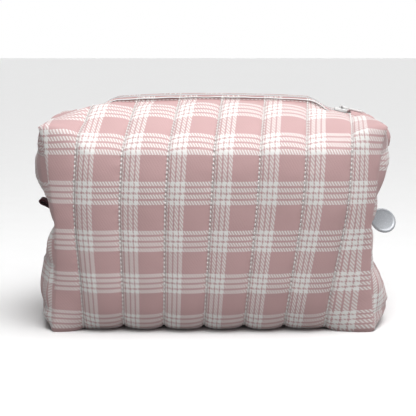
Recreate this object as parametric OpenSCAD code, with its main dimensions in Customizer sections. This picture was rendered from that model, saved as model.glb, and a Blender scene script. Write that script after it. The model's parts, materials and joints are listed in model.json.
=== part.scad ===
// Boxy quilted makeup bag with an arched zip along its top.
// The origin is the middle of the base. X runs along the zip, the front faces -Y and Z is up.

/* [Body] */
// Width of the body from side panel to side panel
body_w = 240; // [236:1:260]
// Depth of the body from front to rear
body_d = 124; // [116:1:150]
// Height of the straight fold where the front and rear walls turn into the top
shoulder_h = 137; // [130:1:140]
// Height of the zip opening's edge at mid width
ridge_h = 176; // [170:1:178]
// Height of the four corners, which stand above the fold
corner_h = 152; // [148:1:153]
// Radius of the arch that the zip follows from side to side
arch_r = 430; // [420:10:600]
// Height of the seam that crosses each side panel
end_seam_h = 82; // [60:1:95]

/* [Quilted fabric] */
// Thickness of the printed cotton
face_t = 1.5; // [1:0.1:2]
// Thickness of the wadding
wadding_t = 3.2; // [2.5:0.1:3.6]
// Thickness of the lining
lining_t = 0.8; // [0.6:0.1:1.2]

/* [Zip] */
// Width of zip that shows between the folded edges
zip_w = 25; // [22:1:30]
// Half the length of the opening top panels
flap_half = 95; // [90:1:95]
// Distance of the parked slider from mid width
slider_x = 101; // [101:0.5:101.5]
// Distance of the tabs that cover the zip's ends from mid width
tab_x = 108.5; // [108.5:0.5:110]
// Length of the tabs down the side panels
tab_drop = 32; // [20:1:45]
// Thickness of the tabs
tab_t = 1.3; // [0.8:0.1:1.5]
// Length of the zip pull beyond its pin
pull_len = 17; // [14:1:18]

/* [Side trims] */
// Diameter of the round label
label_d = 21; // [18:0.5:24]
// Thickness of the round label
label_t = 1.6; // [1:0.1:1.8]
// Lean of the round label's face away from upright, in degrees
label_lean = 35; // [0:1:36]
// Width of the ribbon of the side loop
loop_w = 14; // [10:1:20]
// Angle of the side loop above level, in degrees
loop_rise = 30; // [20:1:35]

/* [Hidden] */
gap = 0.3;
pin_gap = 0.08;
fold_t = face_t + wadding_t + lining_t;
face = [0, face_t];
wadding = [face_t, face_t + wadding_t];
lining = [face_t + wadding_t, fold_t];
end_x = flap_half + gap;
inner_x = body_w / 2 - fold_t;
inner_y = body_d / 2 - fold_t;
slot_y = zip_w / 2;
flap_steps = 24;
end_steps = 6;

// Zip section, as heights from the arch and distances from the zip's middle line
tape_top = -1.5;
tape_t = 0.8;
coil_mid = tape_top - tape_t / 2;
coil_h = 2.6;
coil_in = 0.8;
coil_out = 3;
stop_len = 1.2;

// Slider
plate_t = 1.3;
slider_len = 11;
slider_w = 9.2;
flange_w = 1.2;
flange_h = 0.9;
wedge_w = 1;
wedge_len = 3;
coil_top = coil_mid + coil_h / 2;
coil_bottom = coil_mid - coil_h / 2;
plate_top = coil_top + gap + plate_t;
pin_r = 0.72;
pin_h = plate_top + 1.3;
lug_r = 1.7;
lug_w = 2;
arm_w = 1.1;
pull_w = 7.2;
pull_t = 1.2;

// Side trims
binding_w = 8;
binding_t = 2.4;
binding_h = 108;
loop_reach = 23.2;
loop_t = 4.4;
ribbon_t = 1.2;
loop_root = 2;
label_root = 7;
label_droop = 22;
neck_w = 2;
neck_start = 1.3;

pink = [0.84, 0.68, 0.70];
deep_pink = [0.50, 0.28, 0.31];
white = [0.95, 0.95, 0.94];
cream = [0.93, 0.90, 0.87];
metal = [0.80, 0.82, 0.85];
pearl = [0.82, 0.85, 0.88];

// Height of the arch at a distance from mid width
function arch_z(x) = ridge_h - arch_r + sqrt(arch_r * arch_r - x * x);

// Height of the fold, which is straight along the flaps and climbs to the corners
function fold_z(x) = abs(x) <= end_x
  ? shoulder_h
  : shoulder_h + (corner_h - shoulder_h) * (abs(x) - end_x) / (body_w / 2 - end_x);

// Angle of a point of the arch from upright
function arch_angle(x) = asin(x / arch_r);

module left() {
  mirror([1, 0, 0]) children();
}

module rear() {
  mirror([0, 1, 0]) children();
}

// Both sides of the zip
module zip_sides() {
  children();
  rear() children();
}

// One layer of the base
module base_layer(layer) {
  x = body_w / 2 - layer[0];
  y = body_d / 2 - layer[0];
  translate([-x, -y, layer[0]]) cube([2 * x, 2 * y, layer[1] - layer[0]]);
}

// Outline of the front wall, with its standing corners
module front_outline() {
  low = fold_z(end_x) - fold_t;
  half = [
    [end_x, low - gap],
    [end_x, low],
    [inner_x, fold_z(inner_x) - fold_t],
    [inner_x, fold_z(inner_x)],
    [body_w / 2, corner_h]
  ];
  polygon(concat(
    [for (p = half) p],
    [[body_w / 2, 0], [-body_w / 2, 0]],
    [for (i = [len(half) - 1 : -1 : 0]) [-half[i][0], half[i][1]]]
  ));
}

// One layer of the front wall
module front_layer(layer) {
  x = body_w / 2 - layer[0];
  translate([0, layer[1] - body_d / 2, 0])
    rotate([90, 0, 0])
      linear_extrude(layer[1] - layer[0])
        intersection() {
          front_outline();
          translate([-x, layer[1]]) square([2 * x, corner_h]);
        }
}

// Outline of a side wall, lowered at mid depth under the zip's tab
module side_outline() {
  top = arch_z(body_w / 2);
  under_tab = top - tab_t;
  polygon([
    [-body_d / 2, 0],
    [body_d / 2, 0],
    [body_d / 2, corner_h],
    [slot_y, top],
    [slot_y, under_tab],
    [-slot_y, under_tab],
    [-slot_y, top],
    [-body_d / 2, corner_h]
  ]);
}

// One layer of the right side wall
module side_layer(layer) {
  y = body_d / 2 - layer[1];
  translate([body_w / 2 - layer[1], 0, 0])
    rotate([90, 0, 90])
      linear_extrude(layer[1] - layer[0])
        intersection() {
          side_outline();
          translate([-y, layer[1]]) square([2 * y, corner_h]);
        }
}

// One layer of the sloping top in front of the zip, ruled from the fold to the arch
module slope_layer(layer, from_x, to_x, steps) {
  xs = [for (i = [0 : steps]) from_x + (to_x - from_x) * i / steps];
  points = [
    for (x = xs)
      each [
        [x, -body_d / 2, fold_z(x) - layer[0]],
        [x, -slot_y, arch_z(x) - layer[0]],
        [x, -slot_y, arch_z(x) - layer[1]],
        [x, -body_d / 2, fold_z(x) - layer[1]]
      ]
  ];
  // Upper and lower faces split along the same diagonal, so that stacked layers meet exactly
  skin = [
    for (i = [0 : steps - 1], k = [0 : 3])
      let (a = 4 * i + k, b = 4 * i + (k + 1) % 4)
        each k == 2
          ? [[a, b, a + 4], [b, b + 4, a + 4]]
          : [[a, b, b + 4], [a, b + 4, a + 4]]
  ];
  last = 4 * steps;
  polyhedron(points, concat(skin, [[3, 2, 1, 0], [last, last + 1, last + 2, last + 3]]));
}

module flap_layer(layer) {
  slope_layer(layer, -flap_half, flap_half, flap_steps);
}

module end_layer(layer) {
  zip_sides() slope_layer(layer, end_x, inner_x, end_steps);
}

// Sweeps a section of [height above the arch, distance in front of the zip] along the arch
module along_arch(from_x, to_x) {
  start = arch_angle(from_x);
  end = arch_angle(to_x);
  translate([0, 0, ridge_h - arch_r])
    rotate([90, 0, 0])
      rotate([0, 0, 90 - end])
        rotate_extrude(angle = end - start, $fn = 360)
          translate([arch_r, 0]) children();
}

module tape(from_x, to_x) {
  along_arch(from_x, to_x)
    translate([tape_top - tape_t, coil_out]) square([tape_t, slot_y - coil_out]);
}

module coil(from_x, to_x) {
  along_arch(from_x, to_x)
    translate([coil_bottom, coil_in]) square([coil_h, coil_out - coil_in]);
}

// Fabric tab over the zip's end, turned down onto the side panel
module zip_tab() {
  outer = body_w / 2 + tab_t;
  xs = [for (i = [0 : end_steps]) tab_x + (body_w / 2 - tab_x) * i / end_steps];
  low = arch_z(body_w / 2) - tab_drop;
  translate([0, slot_y, 0])
    rotate([90, 0, 0])
      linear_extrude(zip_w)
        polygon(concat(
          [for (x = xs) [x, arch_z(x)]],
          [[outer, arch_z(outer)], [outer, low], [body_w / 2, low]],
          [for (i = [end_steps : -1 : 0]) [xs[i], arch_z(xs[i]) - tab_t]]
        ));
}

// Places the slider's own frame on the arch
module at_slider() {
  translate([0, 0, ridge_h - arch_r])
    rotate([0, arch_angle(slider_x), 0])
      translate([0, 0, arch_r]) children();
}

// A box centred on the zip's middle line
module bar(x0, x1, width, z0, z1) {
  translate([x0, -width / 2, z0]) cube([x1 - x0, width, z1 - z0]);
}

// A round bar across the zip
module cross_pin(radius, width) {
  rotate([90, 0, 0]) cylinder(h = width, r = radius, center = true, $fn = 48);
}

// Bound seam allowance inside a vertical corner seam
module corner_binding() {
  translate([inner_x - binding_t, -inner_y, fold_t]) cube([binding_t, binding_w, binding_h]);
}

// Bound seam allowance inside the seam across the side
module seam_binding() {
  length = 2 * (inner_y - binding_w);
  translate([inner_x - binding_t, -length / 2, end_seam_h - binding_w / 2])
    cube([binding_t, length, binding_w]);
}

module base_panel() {
  color(pink) base_layer(face);
}

module base_wadding() {
  color(white) base_layer(wadding);
}

module base_lining() {
  color(cream) base_layer(lining);
}

module front_panel() {
  color(pink) front_layer(face);
}

module front_wadding() {
  color(white) front_layer(wadding);
}

module front_lining() {
  color(cream) front_layer(lining);
}

module rear_panel() {
  color(pink) rear() front_layer(face);
}

module rear_wadding() {
  color(white) rear() front_layer(wadding);
}

module rear_lining() {
  color(cream) rear() front_layer(lining);
}

module left_side_panel() {
  color(pink) left() side_layer(face);
}

module left_side_wadding() {
  color(white) left() side_layer(wadding);
}

module left_side_lining() {
  color(cream) left() side_layer(lining);
}

module right_side_panel() {
  color(pink) side_layer(face);
}

module right_side_wadding() {
  color(white) side_layer(wadding);
}

module right_side_lining() {
  color(cream) side_layer(lining);
}

module left_top_panel() {
  color(pink) left() end_layer(face);
}

module left_top_wadding() {
  color(white) left() end_layer(wadding);
}

module left_top_lining() {
  color(cream) left() end_layer(lining);
}

module right_top_panel() {
  color(pink) end_layer(face);
}

module right_top_wadding() {
  color(white) end_layer(wadding);
}

module right_top_lining() {
  color(cream) end_layer(lining);
}

module front_flap_panel() {
  color(pink) flap_layer(face);
}

module front_flap_wadding() {
  color(white) flap_layer(wadding);
}

module front_flap_lining() {
  color(cream) flap_layer(lining);
}

module rear_flap_panel() {
  color(pink) rear() flap_layer(face);
}

module rear_flap_wadding() {
  color(white) rear() flap_layer(wadding);
}

module rear_flap_lining() {
  color(cream) rear() flap_layer(lining);
}

module front_zip_tape() {
  color(white) tape(-flap_half, flap_half);
}

module rear_zip_tape() {
  color(white) rear() tape(-flap_half, flap_half);
}

module left_zip_tape() {
  color(white) left() zip_sides() tape(end_x, tab_x);
}

module right_zip_tape() {
  color(white) zip_sides() tape(end_x, tab_x);
}

module front_zip_coil() {
  color(cream) coil(-flap_half, flap_half);
}

module rear_zip_coil() {
  color(cream) rear() coil(-flap_half, flap_half);
}

module left_zip_coil() {
  color(cream) left() zip_sides() coil(end_x, tab_x - stop_len);
}

module right_zip_coil() {
  color(cream) zip_sides() coil(end_x, tab_x - stop_len);
}

module left_zip_stop() {
  color(metal) left()
    along_arch(tab_x - stop_len, tab_x)
      translate([coil_bottom, -coil_out]) square([coil_h, 2 * coil_out]);
}

module right_zip_stop() {
  color(metal) zip_sides() coil(tab_x - stop_len, tab_x);
}

module left_zip_tab() {
  color(pink) left() zip_tab();
}

module right_zip_tab() {
  color(pink) zip_tab();
}

// Slider: two plates joined by a thin wedge, with edges turned in towards the tape
module slider_body() {
  half = slider_len / 2;
  color(metal) at_slider() {
    bar(-half, half, slider_w, coil_top + gap, plate_top);
    bar(-half, half, slider_w, coil_bottom - gap - plate_t, coil_bottom - gap);
    bar(half - wedge_len, half, wedge_w, coil_bottom - gap, coil_top + gap);
    zip_sides()
      translate([-half, -slider_w / 2, coil_top + gap - flange_h])
        cube([slider_len, flange_w, flange_h]);
    zip_sides()
      translate([-half, -slider_w / 2, coil_bottom - gap])
        cube([slider_len, flange_w, flange_h]);
    difference() {
      union() {
        bar(-lug_r, lug_r, lug_w, plate_top, pin_h);
        translate([0, 0, pin_h]) cross_pin(lug_r, lug_w);
      }
      translate([0, 0, pin_h]) cross_pin(pin_r + pin_gap, 2 * lug_w);
    }
  }
}

// Pull: a pin through the slider's lug, two arms and a rounded plate
module slider_pull() {
  pin_w = lug_w + 2 * (gap + arm_w);
  plate_x = lug_r + 2.5;
  color(metal) at_slider() translate([0, 0, pin_h]) {
    cross_pin(pin_r, pin_w);
    zip_sides()
      translate([0, -pin_w / 2, -pin_r]) cube([plate_x + 1, arm_w, 2 * pin_r]);
    bar(plate_x, pull_len - pull_w / 2, pull_w, -pull_t / 2, pull_t / 2);
    translate([pull_len - pull_w / 2, 0, -pull_t / 2])
      cylinder(h = pull_t, r = pull_w / 2, $fn = 64);
  }
}

module left_seam_binding() {
  color(white) left() seam_binding();
}

module right_seam_binding() {
  color(white) seam_binding();
}

module front_left_binding() {
  color(white) left() corner_binding();
}

module front_right_binding() {
  color(white) corner_binding();
}

module rear_left_binding() {
  color(white) left() rear() corner_binding();
}

module rear_right_binding() {
  color(white) rear() corner_binding();
}

// Ribbon folded into a narrow loop, pointing out and up from the left side seam
module left_loop() {
  radius = loop_t / 2;
  reach = (loop_reach - radius) / cos(loop_rise);
  color(deep_pink)
    translate([-body_w / 2, loop_w / 2, end_seam_h])
      rotate([90, 0, 0])
        linear_extrude(loop_w)
          rotate(180 - loop_rise)
            difference() {
              union() {
                translate([reach, 0]) circle(r = radius, $fn = 48);
                polygon([
                  [loop_root, -ribbon_t],
                  [reach / 2, -radius],
                  [reach, -radius],
                  [reach, radius],
                  [reach / 2, radius],
                  [loop_root, ribbon_t]
                ]);
              }
              translate([reach, 0]) circle(r = radius - ribbon_t, $fn = 48);
              polygon([
                [loop_root + 4, 0],
                [reach / 2, ribbon_t - radius],
                [reach, ribbon_t - radius],
                [reach, radius - ribbon_t],
                [reach / 2, radius - ribbon_t]
              ]);
            }
}

// Round label, hanging out from the right side seam by a narrow neck
module round_label() {
  color(pearl)
    translate([body_w / 2, 0, end_seam_h])
      rotate([0, label_droop, 0]) {
        bar(neck_start, label_root + neck_w, neck_w, -label_t / 2, label_t / 2);
        translate([label_root + label_d / 2, 0, 0])
          rotate([-label_lean, 0, 0])
            cross_pin(label_d / 2, label_t);
      }
}

base_panel();
base_wadding();
base_lining();
front_panel();
front_wadding();
front_lining();
rear_panel();
rear_wadding();
rear_lining();
left_side_panel();
left_side_wadding();
left_side_lining();
right_side_panel();
right_side_wadding();
right_side_lining();
left_top_panel();
left_top_wadding();
left_top_lining();
right_top_panel();
right_top_wadding();
right_top_lining();
front_flap_panel();
front_flap_wadding();
front_flap_lining();
rear_flap_panel();
rear_flap_wadding();
rear_flap_lining();
front_zip_tape();
rear_zip_tape();
left_zip_tape();
right_zip_tape();
front_zip_coil();
rear_zip_coil();
left_zip_coil();
right_zip_coil();
left_zip_stop();
right_zip_stop();
left_zip_tab();
right_zip_tab();
slider_body();
slider_pull();
left_seam_binding();
right_seam_binding();
front_left_binding();
front_right_binding();
rear_left_binding();
rear_right_binding();
left_loop();
round_label();
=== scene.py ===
import json
import math

import bpy
import numpy as np
from mathutils import Matrix, Vector, noise


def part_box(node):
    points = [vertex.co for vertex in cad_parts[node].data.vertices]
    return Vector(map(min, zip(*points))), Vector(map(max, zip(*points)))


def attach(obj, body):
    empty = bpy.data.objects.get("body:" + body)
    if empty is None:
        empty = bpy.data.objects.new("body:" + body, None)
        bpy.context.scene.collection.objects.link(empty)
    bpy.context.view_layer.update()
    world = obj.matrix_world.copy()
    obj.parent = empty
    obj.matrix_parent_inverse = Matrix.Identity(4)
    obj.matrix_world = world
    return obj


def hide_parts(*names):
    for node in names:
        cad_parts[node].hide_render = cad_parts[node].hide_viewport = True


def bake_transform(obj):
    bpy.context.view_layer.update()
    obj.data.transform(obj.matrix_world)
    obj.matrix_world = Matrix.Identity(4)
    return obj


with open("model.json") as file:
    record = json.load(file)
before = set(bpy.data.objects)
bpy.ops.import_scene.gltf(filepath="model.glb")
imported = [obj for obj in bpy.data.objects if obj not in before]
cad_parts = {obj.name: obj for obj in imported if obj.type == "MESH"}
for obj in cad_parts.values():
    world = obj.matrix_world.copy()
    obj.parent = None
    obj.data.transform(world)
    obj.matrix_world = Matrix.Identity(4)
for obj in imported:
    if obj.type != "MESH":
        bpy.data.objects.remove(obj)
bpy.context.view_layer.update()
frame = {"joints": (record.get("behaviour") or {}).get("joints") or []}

# ---- sizes, in millimetres
M = 0.001
JOINTS = {j["name"]: j for j in frame["joints"]}


def box_mm(node):
    low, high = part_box(node)
    return np.array(low) / M, np.array(high) / M


HALF_W, HALF_D = box_mm("base_panel")[1][:2]
SLOT = -box_mm("front_flap_panel")[1][1]
RIDGE = box_mm("front_flap_panel")[1][2]
CORNER = box_mm("front_panel")[1][2]
FOLD_Y, FOLD_Z = (v / M for v in JOINTS["front_flap_fold"]["pos_m"][1:])
ARCH_Z = JOINTS["zip_run"]["pos_m"][2] / M
ARCH_R = RIDGE - ARCH_Z
SEAM_Z = JOINTS["loop_bend"]["pos_m"][2] / M
TAB_X = box_mm("right_zip_tab")[0][0]
QUILT = 34.0            # distance between quilt lines
QUILT_MID = -1.5        # the middle quilt line's place along the fabric
PUFF = 4.6              # how far a channel swells above its stitches
GROOVE = 0.4            # how deep the stitches pull the quilt lines in
END_SPARE = 1.5         # cloth taken up by the end seams
END_FROM = 88.0         # from here the section changes into that of the end
CROWN = 3.0             # how far the middle stands out beyond the ends
HEM = 3.5               # flat cloth along the zip edge
EAR_TIP = 3.8           # how far the standing corners' tips are above the front panel
EAR_SLOPE = 0.95        # cloth taken up by each millimetre of a standing corner
EAR_SIDE = 125.5        # half width of the top where it ends over the sides
TOPSTITCH = 4.0         # from the zip edge to the row of stitches along it
TOP_CLOTH = 67.0        # cloth from the zip edge to the front fold
LIPS = ((-92, 14, 5.5), (97, 13, 4.2))     # where and how far the front panel stands over the zip
EAR_ROW, FOLD_ROW, BOTTOM_ROW, MID_ROW = 17, 20, 68, 89
LAST_ROW = 2 * MID_ROW
BODY = slice(FOLD_ROW, LAST_ROW - FOLD_ROW + 1)
TOPS = (("front", slice(0, FOLD_ROW + 1), 1), ("rear", slice(LAST_ROW, LAST_ROW - FOLD_ROW - 1, -1), -1))
ENDS, FACES = (("left", -1), ("right", 1)), (("front", -1), ("rear", 1))


def smooth(t):
    t = np.clip(t, 0, 1)
    return t * t * (3 - 2 * t)


def unit(vectors):
    return vectors / np.maximum(np.linalg.norm(vectors, axis=-1, keepdims=True), 1e-9)


def pairs(down, across):
    """A grid of number pairs, from one row of numbers down it and one across it."""
    return np.stack(np.meshgrid(down, across, indexing="ij"), axis=-1)


def arch_lift(x):
    """How far the zip stands above its arch, flattening it at mid width; nothing at the ends."""
    x = np.asarray(x, float)
    drop = ARCH_R - np.sqrt(ARCH_R ** 2 - x ** 2)
    return (1.3 + 0.65 * drop) * smooth((93 - np.abs(x)) / 20)


def arch(x):
    return ARCH_Z + np.sqrt(ARCH_R ** 2 - np.asarray(x, float) ** 2) + arch_lift(x)


def add_object(name, data):
    obj = bpy.data.objects.new(name, data)
    bpy.context.scene.collection.objects.link(obj)
    return obj


# ---- camera
def make_camera():
    front_scale = 416 / 1.345            # width that the view takes in at the front face
    distance = 900.0
    tilt = math.radians(9.0)
    target = Vector((-3.7, -HALF_D - 3, 95.8))
    back = Vector((0, -math.cos(tilt), math.sin(tilt)))
    data = bpy.data.cameras.new("camera")
    camera = add_object("camera", data)
    data.lens = data.sensor_width * distance / front_scale
    camera.location = (target + back * distance) * M
    camera.rotation_euler = back.to_track_quat("Z", "Y").to_euler()
    bpy.context.scene.camera = camera


make_camera()


# ---- materials
class Nodes:
    """Short forms for building a node tree."""

    def __init__(self, name):
        self.material = bpy.data.materials.new(name)
        self.material.use_nodes = True
        self.tree = self.material.node_tree
        self.shader = self.tree.nodes["Principled BSDF"]

    def add(self, kind, **settings):
        node = self.tree.nodes.new(kind)
        for key, value in settings.items():
            setattr(node, key, value)
        return node

    def link(self, a, b):
        self.tree.links.new(a, b)

    def put(self, socket, value):
        if isinstance(value, bpy.types.NodeSocket):
            self.link(value, socket)
        else:
            socket.default_value = value

    def math(self, operation, a, b=0.0, c=0.0):
        node = self.add("ShaderNodeMath", operation=operation)
        for socket, value in zip(node.inputs, (a, b, c)):
            self.put(socket, value)
        return node.outputs[0]

    def mix(self, factor, a, b):
        node = self.add("ShaderNodeMix", data_type="RGBA")
        self.put(node.inputs[0], factor)
        for socket, value in ((node.inputs[6], a), (node.inputs[7], b)):
            self.put(socket, value if isinstance(value, bpy.types.NodeSocket) else (*value, 1))
        return node.outputs[2]

    def noise(self, vector, scale, detail=2.0):
        node = self.add("ShaderNodeTexNoise")
        self.link(vector, node.inputs["Vector"])
        node.inputs["Scale"].default_value = scale
        node.inputs["Detail"].default_value = detail
        return node.outputs["Fac"]

    def place(self):
        """Position on the object in metres, from its own coordinates."""
        return self.add("ShaderNodeTexCoord").outputs["Object"]

    def fabric(self):
        """Position on the cloth in millimetres, as two numbers."""
        uv = self.add("ShaderNodeUVMap", uv_map="fabric")
        split = self.add("ShaderNodeSeparateXYZ")
        self.link(uv.outputs[0], split.inputs[0])
        return uv.outputs[0], split.outputs[0], split.outputs[1]

    def bump(self, height, distance, strength=1.0):
        node = self.add("ShaderNodeBump")
        node.inputs["Strength"].default_value = strength
        node.inputs["Distance"].default_value = distance
        self.link(height, node.inputs["Height"])
        self.link(node.outputs[0], self.shader.inputs["Normal"])

    def finish(self, colour, roughness, sheen=0.0, **sockets):
        self.link(colour, self.shader.inputs["Base Color"])
        self.put(self.shader.inputs["Roughness"], roughness)
        self.shader.inputs["Sheen Weight"].default_value = sheen
        for key, value in sockets.items():
            self.shader.inputs[key.replace("_", " ")].default_value = value
        return self.material


PINK = (0.62, 0.405, 0.405)
PINK_DARK = (0.54, 0.34, 0.34)
WHITE = (0.90, 0.90, 0.88)
# colour of the painted shade in the crease beside each quilt line
CREASE_SHADE = (0.30, 0.17, 0.17)
CREASE_SHADE_AT, CREASE_SHADE_WIDE = 0.9, 1.1       # where and how wide the painted shade lies in the crease beside each quilt line
TWILL = 2.1             # distance between the twill's strokes
WARP = dict(repeat=34.0, offset=104.0, band=15.6, stripes=4, gap=0.27)
WEFT = dict(repeat=36.2, offset=20.7, band=18.6, stripes=4, gap=0.34)


def white_threads(n, along, repeat, offset, band, stripes, gap):
    """1 where the yarns that cross at this place along the cloth are white."""
    phase = n.math("FRACT", n.math("DIVIDE", n.math("ADD", along, offset), repeat))
    place = n.math("MULTIPLY", phase, repeat)
    inside = n.math("LESS_THAN", place, band)
    stripe = n.math("FRACT", n.math("DIVIDE", place, band / stripes))
    solid = n.math("LESS_THAN", stripe, 1 - gap)
    return n.math("MULTIPLY", inside, solid)


def plaid_material():
    n = Nodes("plaid_cotton")
    uv, u, v = n.fabric()
    warp = white_threads(n, u, **WARP)
    weft = white_threads(n, v, **WEFT)
    diagonal = n.math("FRACT", n.math("DIVIDE", n.math("MULTIPLY_ADD", v, -0.65, u), TWILL))
    warp_up = n.math("MULTIPLY_ADD", n.math("LESS_THAN", diagonal, 0.5), 0.6, 0.2)
    shown = n.math("ADD", n.math("MULTIPLY", warp, warp_up),
                   n.math("MULTIPLY", weft, n.math("SUBTRACT", 1.0, warp_up)))
    blotch = n.noise(n.place(), 60.0, 3.0)
    fine = n.noise(uv, 1.6, 2.0)
    # painted shade: the cloth just beside each quilt line is darkened, standing in for the shade in its
    # crease
    channel = n.math("DIVIDE", n.math("ADD", u, 3 * QUILT - QUILT_MID), QUILT)
    beside = n.math("MULTIPLY", n.math("FRACT", channel), QUILT)
    off = n.math("DIVIDE", n.math("SUBTRACT", beside, CREASE_SHADE_AT), CREASE_SHADE_WIDE)
    crease_shade = n.math("MAXIMUM", n.math("SUBTRACT", 1.0, n.math("ABSOLUTE", off)), 0.0)
    pink = n.mix(n.math("MULTIPLY_ADD", fine, 0.5, n.math("MULTIPLY", blotch, 0.4)), PINK_DARK, PINK)
    colour = n.mix(n.math("MULTIPLY", shown, 0.93), pink, WHITE)
    # painted shade mixed into the cloth's colour beside each quilt line
    colour = n.mix(n.math("MULTIPLY", crease_shade, 0.4), colour, CREASE_SHADE)
    yarn = n.math("ADD", n.math("PINGPONG", u, 0.28), n.math("PINGPONG", v, 0.28))
    ridge = n.math("PINGPONG", diagonal, 0.5)
    height = n.math("ADD", n.math("MULTIPLY", yarn, 0.6), n.math("MULTIPLY_ADD", ridge, 0.7, fine))
    n.bump(height, 0.0003, 0.55)
    return n.finish(colour, n.math("MULTIPLY_ADD", fine, 0.12, 0.78), sheen=0.25, Sheen_Roughness=0.5)


def cloth_material(name, colour, dark, yarn_size):
    """Plain woven cloth, on its own fabric coordinates."""
    n = Nodes(name)
    uv, u, v = n.fabric()
    fine = n.noise(uv, 1.2, 3.0)
    over = n.math("MULTIPLY", n.math("PINGPONG", u, yarn_size), n.math("PINGPONG", v, yarn_size))
    n.bump(n.math("MULTIPLY_ADD", over, 4.0 / yarn_size, fine), 0.00025, 0.6)
    return n.finish(n.mix(fine, dark, colour), n.math("MULTIPLY_ADD", fine, 0.1, 0.75), sheen=0.15)


def ribbed_material(name, colour, dark, rib):
    """Herringbone or ribbed tape."""
    n = Nodes(name)
    uv, u, v = n.fabric()
    zig = n.math("PINGPONG", v, 2.2)
    rib_height = n.math("PINGPONG", n.math("ADD", u, zig), rib)
    fine = n.noise(uv, 2.0, 2.0)
    shade = n.math("MULTIPLY_ADD", rib_height, 0.5 / rib, n.math("MULTIPLY", fine, 0.5))
    n.bump(rib_height, 0.0003, 0.7)
    return n.finish(n.mix(shade, dark, colour), n.math("MULTIPLY_ADD", fine, 0.1, 0.72), sheen=0.1)


def thread_material(name, colour):
    n = Nodes(name)
    fine = n.noise(n.place(), 2500.0, 2.0)
    n.bump(fine, 0.0002, 0.5)
    return n.finish(n.mix(fine, tuple(0.8 * c for c in colour), colour), 0.6, sheen=0.2)


def enamel_material(name, colour, metallic, roughness):
    n = Nodes(name)
    place = n.place()
    cloudy = n.noise(place, 180.0, 3.0)
    scratch = n.noise(place, 1400.0, 4.0)
    n.bump(scratch, 0.00004, 0.35)
    rough = n.math("MULTIPLY_ADD", scratch, 0.14, roughness - 0.07)
    return n.finish(n.mix(cloudy, tuple(0.86 * c for c in colour), colour), rough,
                    Metallic=metallic, Coat_Weight=0.25)


PLAID = plaid_material()
PLAIN = cloth_material("plain_cotton", PINK, PINK_DARK, 0.28)
LINING = cloth_material("lining_cotton", (0.78, 0.72, 0.68), (0.70, 0.63, 0.59), 0.35)
TAPE = ribbed_material("zip_tape", (0.83, 0.83, 0.82), (0.66, 0.66, 0.66), 0.5)
RIBBON = ribbed_material("loop_ribbon", (0.13, 0.028, 0.042), (0.06, 0.010, 0.016), 0.6)
BINDING = cloth_material("seam_binding", (0.80, 0.77, 0.74), (0.70, 0.66, 0.63), 0.4)
STITCH = thread_material("stitch_thread", (0.95, 0.94, 0.92))
NYLON = enamel_material("zip_nylon", (0.70, 0.70, 0.70), 0.0, 0.42)
METAL = enamel_material("slider_enamel", (0.82, 0.82, 0.81), 0.0, 0.30)
PEARL = enamel_material("pearl_label", (0.50, 0.53, 0.565), 0.15, 0.26)


# ---- meshes
def add_mesh(name, points, faces, material, uvs=None, normals=None):
    """A mesh object from points in millimetres, with fabric coordinates and normals per point."""
    mesh = bpy.data.meshes.new(name)
    mesh.from_pydata((np.asarray(points, float) * M).tolist(), [], [list(f) for f in faces])
    mesh.materials.append(material)
    loops = np.zeros(len(mesh.loops), int)
    mesh.loops.foreach_get("vertex_index", loops)
    layer = mesh.uv_layers.new(name="fabric")
    values = np.asarray(points, float)[:, :2] if uvs is None else np.asarray(uvs, float)
    layer.data.foreach_set("uv", values[loops].astype(np.float32).ravel())
    mesh.polygons.foreach_set("use_smooth", [True] * len(mesh.polygons))
    if normals is not None:
        mesh.normals_split_custom_set_from_vertices(np.asarray(normals, float).tolist())
    mesh.update()
    return add_object(name, mesh)


def grid_faces(rows, columns, flip=False, start=0):
    faces = []
    for r in range(rows - 1):
        for c in range(columns - 1):
            a = start + r * columns + c
            face = (a, a + 1, a + columns + 1, a + columns)
            faces.append(face[::-1] if flip else face)
    return faces


def add_grid(name, points, uvs, normals, material, flip=False):
    rows, columns = points.shape[:2]
    return add_mesh(name, points.reshape(-1, 3), grid_faces(rows, columns, flip), material,
                    uvs.reshape(-1, 2), normals.reshape(-1, 3))


def grid_normals(points):
    """Unit normals of a grid of points, from its neighbours."""
    along = np.gradient(points, axis=0)
    across = np.gradient(points, axis=1)
    return unit(np.cross(along, across))


def ring_faces(rings, count, endless=False):
    """Faces of a tube made of rings of points, closed at both ends or joined on to its own start."""
    faces = []
    for k in range(rings if endless else rings - 1):
        this, following = k * count, (k + 1) % rings * count
        for a in range(count):
            b = (a + 1) % count
            faces.append((this + a, this + b, following + b, following + a))
    if endless:
        return faces
    return faces + [tuple(range(count))[::-1], tuple((rings - 1) * count + a for a in range(count))]


def add_strip(name, top, low, uv, material, flip=False, normals=None):
    """A closed strip between an upper and a lower grid of points."""
    rows, columns = top.shape[:2]
    start = rows * columns
    faces = grid_faces(rows, columns) + grid_faces(rows, columns, True, start)
    ring = ([(0, c) for c in range(columns)] + [(r, columns - 1) for r in range(1, rows)]
            + [(rows - 1, c) for c in range(columns - 2, -1, -1)]
            + [(r, 0) for r in range(rows - 2, 0, -1)])
    ids = [r * columns + c for r, c in ring]
    faces += [(b, a, start + a, start + b) for a, b in zip(ids, ids[1:] + ids[:1])]
    if flip:
        faces = [f[::-1] for f in faces]
    points = np.concatenate([top.reshape(-1, 3), low.reshape(-1, 3)])
    uv = uv.reshape(-1, 2)
    return add_mesh(name, points, faces, material, np.concatenate([uv, uv]), normals)


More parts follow.
